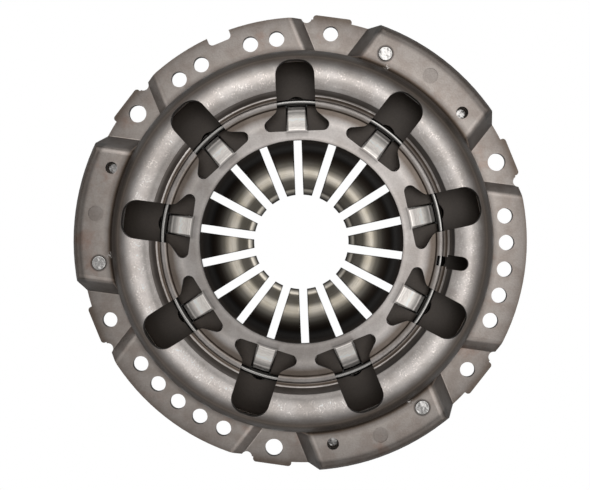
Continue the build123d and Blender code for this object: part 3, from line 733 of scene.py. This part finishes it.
# %% Cover pressing
blank_mesh = bpy.data.meshes.new("blank")
build = bmesh.new()
build.from_mesh(nodes["cover"].data)
bmesh.ops.remove_doubles(build, verts=build.verts, dist=0.001 * mm)
bmesh.ops.dissolve_limit(build, angle_limit=math.radians(0.5), verts=build.verts, edges=build.edges)
build.to_mesh(blank_mesh)
build.free()
blank = bpy.data.objects.new("blank", blank_mesh)
scene.collection.objects.link(blank)
blank_mesh.shade_smooth()
round_edges(blank, "sheared_edges", 0.5 * mm, 38)
even = blank.modifiers.new("flat_faces_stay_flat", "WEIGHTED_NORMAL")
even.keep_sharp = False
pressing = plain_copy(blank, "cover_pressing")
bpy.data.objects.remove(blank)
pressing.data.materials.clear()
pressing.data.materials.append(pressed_steel)
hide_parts("cover")
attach(pressing, "clutch_cover")
print("cover:", len(pressing.data.polygons), "faces")

# %% [markdown]
# ## Diaphragm spring
# One disc of spring steel, slit into eighteen fingers. Its shape follows a rule, so one finger's share is
# built as a mesh, and Geometry Nodes repeats it round the axis and merges the seams. First comes the line
# through the middle of the sheet, from the rim inwards: a flat cone, then fingers that level out and curl
# down at their tips. Its corners are rounded, and it is moved up and down by half the sheet.

# %% Section of the spring
spring_t = 2.4
rim_r = 104.0
tip_r = 26.6
section = [(rim_r, 22.2), (56.0, 32.42), (39.4, 38.13), (30.2, 38.13), (tip_r, 36.82)]
section_bends = [0, 20.0, 8.0, 3.0, 0]


def rounded_line(points, bends, per_bend=6):
    """The points of a line whose corners are rounded to these radii."""
    made = [points[0]]
    for before, corner, after, bend in zip(points, points[1:], points[2:], bends[1:]):
        into = Vector(corner) - Vector(before)
        out = Vector(after) - Vector(corner)
        angle = into.angle(out)
        reach = bend * math.tan(angle / 2)
        start = Vector(corner) - into.normalized() * reach
        end = Vector(corner) + out.normalized() * reach
        for i in range(per_bend + 1):
            t = i / per_bend
            a = start.lerp(Vector(corner), t)
            b = Vector(corner).lerp(end, t)
            made.append(tuple(a.lerp(b, t)))
    made.append(points[-1])
    return made


def offset_line(points, distance):
    """The line moved sideways, upwards for a positive distance as it runs inwards."""
    made = []
    for i, point in enumerate(points):
        before = Vector(points[max(i - 1, 0)])
        after = Vector(points[min(i + 1, len(points) - 1)])
        along = (after - before).normalized()
        made.append((point[0] + along.y * distance, point[1] - along.x * distance))
    return made


def height_at(line, r):
    """Height of a line that runs inwards, at radius r."""
    for (r0, z0), (r1, z1) in zip(line, line[1:]):
        if r >= r1:
            return z0 + (z1 - z0) * (r - r0) / (r1 - r0)
    return line[-1][1]


spring_middle = rounded_line(section, section_bends)
spring_top = offset_line(spring_middle, spring_t / 2)
spring_under = offset_line(spring_middle, -spring_t / 2)
print("finger top", round(max(z for r, z in spring_top), 2), "mm")

# %% [markdown]
# A slot between two fingers runs out to a rounded hole that a tab of the cover passes through. In plan, a
# finger's side is that outline seen from the finger's middle line, so each row of points spans the finger
# from one side to the other, and the rows follow the slot's own corners.

# %% Outline of a slot
half_share = math.pi / fingers
slot_half = 2.25
hole_half = 6.0
hole_in, hole_out = 64.0, 83.2
hole_corner = 1.5
finger_rows, corner_rows, hole_rows, round_rows, rim_rows = 34, 3, 6, 10, 8


def slot_outline():
    """Points along a slot's side from the tips outwards: distance along the slot, and half its width."""
    step = (hole_in - tip_r) / finger_rows
    points = [(tip_r + step * i, slot_half) for i in range(finger_rows + 1)]
    points.append((hole_in, (slot_half + hole_half - hole_corner) / 2))
    for i in range(corner_rows + 1):
        turned = math.pi / 2 * i / corner_rows
        points.append((hole_in + hole_corner * (1 - math.cos(turned)),
                       hole_half - hole_corner * (1 - math.sin(turned))))
    straight_at, round_at = hole_in + hole_corner, hole_out - hole_half
    step = (round_at - straight_at) / hole_rows
    points += [(straight_at + step * i, hole_half) for i in range(1, hole_rows)]
    for i in range(round_rows + 1):
        turned = math.pi / 2 * i / round_rows
        points.append((round_at + hole_half * math.sin(turned), hole_half * math.cos(turned)))
    step = (rim_r - hole_out) / rim_rows
    points += [(hole_out + step * i, 0.0) for i in range(1, rim_rows + 1)]
    return points


outline = slot_outline()
print(len(outline), "rows from a finger's tip to the rim")

# %% [markdown]
# Each row gives the share a line of points on its top and one on its underside. Faces join each row to the
# next, and walls close the slot's side, the tip and the rim. Beyond the hole there is no wall, because the
# next finger's share joins on there.

# %% One finger's share of the disc
columns = 8
shut_half = 0.001  # the rounding ends in a cosine that is not quite zero, and the slot is shut there


def finger_mesh():
    """The share of one finger, about the X axis: top, underside, and walls where it is cut."""
    mesh = bpy.data.meshes.new("finger")
    build = bmesh.new()
    rows = []
    for along, half in outline:
        r = math.hypot(along, half)
        reach = half_share - math.atan2(half, along)
        angles = [reach * (2 * i / columns - 1) for i in range(columns + 1)]
        row = []
        for line in (spring_top, spring_under):
            z = height_at(line, r) * mm
            row.append([build.verts.new((r * math.cos(a) * mm, r * math.sin(a) * mm, z)) for a in angles])
        rows.append((row, half))
    for (inner, half), (outer, _) in zip(rows, rows[1:]):
        for i in range(columns):
            build.faces.new((inner[0][i], outer[0][i], outer[0][i + 1], inner[0][i + 1]))
            build.faces.new((inner[1][i + 1], outer[1][i + 1], outer[1][i], inner[1][i]))
        if half > shut_half:
            build.faces.new((inner[0][0], inner[1][0], outer[1][0], outer[0][0]))
            build.faces.new((inner[0][-1], outer[0][-1], outer[1][-1], inner[1][-1]))
    for (top, under), flip in ((rows[0][0], 1), (rows[-1][0], -1)):
        for i in range(columns):
            face = (top[i], top[i + 1], under[i + 1], under[i])
            build.faces.new(face[::flip])
    build.to_mesh(mesh)
    build.free()
    return mesh


finger = bpy.data.objects.new("finger", finger_mesh())
print("one finger:", len(finger.data.polygons), "faces")

# %% [markdown]
# The node tree turns copies of that share round the axis: a point for each finger, an angle from its number,
# and a merge at the seams. It ends in Realize Instances and Set Material, so that plain geometry comes out.
# The same tree can also stack copies upwards, which the strap leaves need.


# %% Repeat round the axis
def round_tree(name):
    """A node group that repeats an object round the Z axis and stacks it upwards."""
    tree = bpy.data.node_groups.new(name, "GeometryNodeTree")
    face = tree.interface
    face.new_socket("Geometry", in_out="OUTPUT", socket_type="NodeSocketGeometry")
    for label, kind in (("Piece", "NodeSocketObject"), ("Count", "NodeSocketInt"),
                        ("First angle", "NodeSocketFloat"), ("Levels", "NodeSocketInt"),
                        ("Level step", "NodeSocketFloat"), ("Merge distance", "NodeSocketFloat"),
                        ("Finish", "NodeSocketMaterial")):
        face.new_socket(label, in_out="INPUT", socket_type=kind)
    wanted = add(tree, "NodeGroupInput").outputs
    total = add(tree, "ShaderNodeMath", {0: wanted["Count"], 1: wanted["Levels"]}, operation="MULTIPLY")
    points = add(tree, "GeometryNodeMeshLine", {"Count": total.outputs[0], "Offset": (0, 0, 0)})
    number = add(tree, "GeometryNodeInputIndex").outputs[0]
    step = add(tree, "ShaderNodeMath", {0: math.tau, 1: wanted["Count"]}, operation="DIVIDE").outputs[0]
    turned = add(tree, "ShaderNodeMath", {0: number, 1: step, 2: wanted["First angle"]},
                 operation="MULTIPLY_ADD")
    spin = add(tree, "ShaderNodeCombineXYZ", {2: turned.outputs[0]})
    level = add(tree, "ShaderNodeMath", {0: number, 1: wanted["Count"]}, operation="DIVIDE")
    nudge = 0.001  # keeps a whole number from rounding down
    level = add(tree, "ShaderNodeMath", {0: level.outputs[0], 1: nudge}, operation="ADD")
    level = add(tree, "ShaderNodeMath", {0: level.outputs[0]}, operation="FLOOR")
    lift = product(tree, level.outputs[0], wanted["Level step"])
    raised = add(tree, "ShaderNodeCombineXYZ", {2: lift})
    placed = add(tree, "GeometryNodeSetPosition", {"Geometry": points.outputs[0],
                                                   "Position": raised.outputs[0]})
    piece = add(tree, "GeometryNodeObjectInfo", {"Object": wanted["Piece"]})
    copies = add(tree, "GeometryNodeInstanceOnPoints", {"Points": placed.outputs[0],
                                                        "Instance": piece.outputs["Geometry"],
                                                        "Rotation": spin.outputs[0]})
    real = add(tree, "GeometryNodeRealizeInstances", {"Geometry": copies.outputs[0]})
    joined = add(tree, "GeometryNodeMergeByDistance", {"Geometry": real.outputs[0],
                                                       "Distance": wanted["Merge distance"]})
    finished = add(tree, "GeometryNodeSetMaterial", {"Geometry": joined.outputs[0],
                                                     "Material": wanted["Finish"]})
    add(tree, "NodeGroupOutput", {0: finished.outputs[0]})
    return tree


repeat_round = round_tree("repeat_round_the_axis")
print("repeat:", len(repeat_round.nodes), "nodes")


# %% [markdown]
# The tree does its work on an empty carrier object. Its inputs are set by each socket's identifier, and the
# result is taken as a plain mesh, so no modifier is left on the piece.

# %% Use of the node tree
def repeated(piece, name, finish, count, first, levels_up=1, step=0.0, merge=0.0):
    """A piece repeated by the node tree, as a plain mesh."""
    carrier = bpy.data.objects.new(name + "_carrier", bpy.data.meshes.new(name + "_carrier"))
    scene.collection.objects.link(carrier)
    modifier = carrier.modifiers.new("repeat", "NODES")
    modifier.node_group = repeat_round
    values = {"Piece": piece, "Count": count, "First angle": first, "Levels": levels_up,
              "Level step": step, "Merge distance": merge, "Finish": finish}
    for socket in repeat_round.interface.items_tree:
        if socket.in_out == "INPUT":
            modifier[socket.identifier] = values[socket.name]
    made = plain_copy(carrier, name)
    bpy.data.objects.remove(carrier)
    return made


first_finger = math.radians(first_tab) + half_share
disc = repeated(finger, "spring_disc", tempered_steel, fingers, first_finger, merge=0.01 * mm)
print("disc:", len(disc.data.polygons), "faces")

# %% [markdown]
# The blanked edges of the disc are rounded too, though less than the cover's. The real spring flattens about
# its rings when the plate moves.

# %% Diaphragm spring
crease = math.radians(35)
round_edges(disc, "blanked_edges", 0.3 * mm, 50)
spring = plain_copy(disc, "diaphragm_spring_disc")
bpy.data.objects.remove(disc)
bpy.data.objects.remove(finger)
spring.data.shade_smooth()
spring.data.set_sharp_from_angle(angle=crease)
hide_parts("diaphragm_spring")
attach(spring, "clutch_cover")
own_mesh(spring)
print("spring:", len(spring.data.polygons), "faces")

# %% [markdown]
# ## Drive straps
# Each strap is a pack of thin spring leaves, riveted flat to the plate's lug at one end and to the cover at
# the other. Between its two rivets a leaf takes the curve of a beam clamped at both ends, which is 3t^2 -
# 2t^3, so it is built with that curve.

# %% Line of a strap
leaf_half = 6.5
leaf_t = 0.8
leaf_step = 0.85
rivet_hole_r = 2.55
flat_end = 7.5
low_z = 10.85
high_z = 15.5
plate_turn = math.radians(plate_rivet_at)
cover_turn = math.radians(cover_rivet_at)
plate_end = Vector((math.cos(plate_turn), math.sin(plate_turn), 0)) * strap_r
cover_end = Vector((math.cos(cover_turn), math.sin(cover_turn), 0)) * strap_r
strap_length = (cover_end - plate_end).length
strap_way = (cover_end - plate_end).normalized()
strap_side = Vector((0, 0, 1)).cross(strap_way)
print("strap", round(strap_length, 2), "mm from rivet to rivet")

# %% [markdown]
# A leaf is drawn flat first. Its two ends are rings of faces round the rivet's hole, square on the inner side
# and round on the outer, and a grid of faces fills the middle, fine enough to bend smoothly. Then each point
# is lifted onto the curve, and the sheet is given its thickness.

# %% One leaf
around = 24
long_rows = 30
grid_angles = (-45, -30, -15, 0, 15, 30, 45)


def leaf_plan():
    """The flat faces of a leaf, each as its corners along the strap and across it."""
    plan = []
    for centre, outward in ((0, -1), (strap_length, 1)):
        rings = []
        for share in (0.0, 0.5, 1.0):
            ring = []
            for i in range(around):
                a = math.tau * i / around
                x, y = math.cos(a), math.sin(a)
                edge = leaf_half if x * outward >= -1e-6 else leaf_half / max(abs(x), abs(y))
                r = rivet_hole_r + (edge - rivet_hole_r) * share
                ring.append((centre + x * r, y * r))
            rings.append(ring)
        for inner, outer in zip(rings, rings[1:]):
            for i in range(around):
                j = (i + 1) % around
                plan.append((inner[i], inner[j], outer[j], outer[i]))
    across = [leaf_half * math.tan(math.radians(a)) for a in grid_angles]
    step = (strap_length - 2 * leaf_half) / long_rows
    along = [leaf_half + step * i for i in range(long_rows + 1)]
    for x0, x1 in zip(along, along[1:]):
        for y0, y1 in zip(across, across[1:]):
            plan.append(((x0, y0), (x1, y0), (x1, y1), (x0, y1)))
    return plan


def leaf_mesh():
    """The lowest leaf of the first pack: a strip with round ends and a hole for each rivet."""
    mesh = bpy.data.meshes.new("leaf")
    build = bmesh.new()
    for face in leaf_plan():
        corners = []
        for x, y in face:
            t = min(max((x - flat_end) / (strap_length - 2 * flat_end), 0), 1)
            z = low_z + (high_z - low_z) * t * t * (3 - 2 * t)
            at = plate_end + strap_way * x + strap_side * y
            corners.append(build.verts.new((at.x * mm, at.y * mm, z * mm)))
        build.faces.new(corners)
    bmesh.ops.remove_doubles(build, verts=build.verts, dist=0.01 * mm)
    grown = bmesh.ops.extrude_face_region(build, geom=build.faces[:])
    raised = [v for v in grown["geom"] if isinstance(v, bmesh.types.BMVert)]
    bmesh.ops.translate(build, verts=raised, vec=(0, 0, leaf_t * mm))
    bmesh.ops.recalc_face_normals(build, faces=build.faces)
    build.to_mesh(mesh)
    build.free()
    return mesh


leaf = bpy.data.objects.new("leaf", leaf_mesh())
print("one leaf:", len(leaf.data.polygons), "faces")

# %% [markdown]
# Three leaves make a pack, and three packs stand a third of a turn apart. The node tree stacks the leaves.

# %% Strap packs
leaves = 3
for index, name in enumerate("abc"):
    turn_to = index * math.tau / pads
    pack = repeated(leaf, f"strap_pack_{name}", rolled_strip, 1, turn_to, levels_up=leaves,
                    step=leaf_step * mm)
    pack.data.shade_smooth()
    pack.data.set_sharp_from_angle(angle=crease)
    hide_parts(*[f"strap_{name}_leaf_{level}" for level in (1, 2, 3)])
    turned = Matrix.Rotation(turn_to, 3, "Z")
    start = turned @ (plate_end + strap_way * flat_end) * mm
    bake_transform(pack)
    print(pack.name, len(pack.data.polygons), "faces")
bpy.data.objects.remove(leaf)
